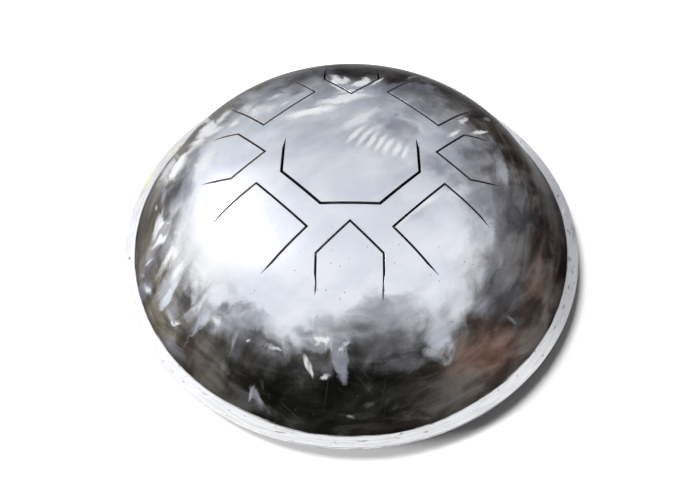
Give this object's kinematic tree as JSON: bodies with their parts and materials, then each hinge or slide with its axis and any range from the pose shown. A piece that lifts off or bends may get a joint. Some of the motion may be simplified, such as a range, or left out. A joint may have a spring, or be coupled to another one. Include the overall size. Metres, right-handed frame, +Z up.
{
  "type": "steel tongue drum",
  "caption": "Round steel tongue drum: a low polished dome with sawn spring tongues, a flat welded rim, a shallow base pan with a sound port, and rubber feet.",
  "frame": {"origin": "on the floor under the middle of the drum", "axes": "+Z up, -Y towards the player, +X to the player's right"},
  "size_m": [0.356, 0.356, 0.102],
  "materials": {
    "dome_steel": "hand-polished sheet, bright on the crown and burnished dark on the wall",
    "weld_steel": "ground weld",
    "pan_steel": "plain rolled sheet",
    "foot_rubber": "matt black",
    "zinc_steel": "bright zinc"
  },
  "bodies": {
    "drum": {"top_shell": "dome_steel", "base_pan": "pan_steel", "rim_weld": "weld_steel", "foot_back_right": "foot_rubber", "foot_back_left": "foot_rubber", "foot_front_left": "foot_rubber", "foot_front_right": "foot_rubber", "foot_screws": "zinc_steel", "foot_washers": "zinc_steel", "foot_nuts": "zinc_steel"},
    "center_tongue": {"tongue_center": "dome_steel"},
    "right_tongue": {"tongue_right": "dome_steel"},
    "back_tongue": {"tongue_back": "dome_steel"},
    "left_tongue": {"tongue_left": "dome_steel"},
    "front_tongue": {"tongue_front": "dome_steel"},
    "back_right_tongue": {"tongue_back_right": "dome_steel"},
    "back_left_tongue": {"tongue_back_left": "dome_steel"},
    "front_left_tongue": {"tongue_front_left": "dome_steel"},
    "front_right_tongue": {"tongue_front_right": "dome_steel"}
  },
  "joints": [
    {"name": "center_flex", "type": "hinge", "parent": "drum", "child": "center_tongue", "pos_m": [0, 0.011, 0.09948], "axis": [1, 0, 0], "range_deg": [-0.5, 0.5], "stiffness_Nm_per_rad": 643},
    {"name": "right_flex", "type": "hinge", "parent": "drum", "child": "right_tongue", "pos_m": [0.102, 0, 0.08506], "axis": [0, -1, 0], "range_deg": [-0.5, 0.5], "stiffness_Nm_per_rad": 383},
    {"name": "back_flex", "type": "hinge", "parent": "drum", "child": "back_tongue", "pos_m": [0, 0.102, 0.08506], "axis": [1, 0, 0], "range_deg": [-0.5, 0.5], "stiffness_Nm_per_rad": 383},
    {"name": "left_flex", "type": "hinge", "parent": "drum", "child": "left_tongue", "pos_m": [-0.102, 0, 0.08506], "axis": [0, 1, 0], "range_deg": [-0.5, 0.5], "stiffness_Nm_per_rad": 383},
    {"name": "front_flex", "type": "hinge", "parent": "drum", "child": "front_tongue", "pos_m": [0, -0.102, 0.08506], "axis": [-1, 0, 0], "range_deg": [-0.5, 0.5], "stiffness_Nm_per_rad": 383},
    {"name": "back_right_flex", "type": "hinge", "parent": "drum", "child": "back_right_tongue", "pos_m": [0.07319, 0.07319, 0.08405], "axis": [0.7071, -0.7071, 0], "range_deg": [-0.5, 0.5], "stiffness_Nm_per_rad": 519},
    {"name": "back_left_flex", "type": "hinge", "parent": "drum", "child": "back_left_tongue", "pos_m": [-0.07319, 0.07319, 0.08405], "axis": [0.7071, 0.7071, 0], "range_deg": [-0.5, 0.5], "stiffness_Nm_per_rad": 519},
    {"name": "front_left_flex", "type": "hinge", "parent": "drum", "child": "front_left_tongue", "pos_m": [-0.07319, -0.07319, 0.08405], "axis": [-0.7071, 0.7071, 0], "range_deg": [-0.5, 0.5], "stiffness_Nm_per_rad": 519},
    {"name": "front_right_flex", "type": "hinge", "parent": "drum", "child": "front_right_tongue", "pos_m": [0.07319, -0.07319, 0.08405], "axis": [-0.7071, -0.7071, 0], "range_deg": [-0.5, 0.5], "stiffness_Nm_per_rad": 519}
  ]
}
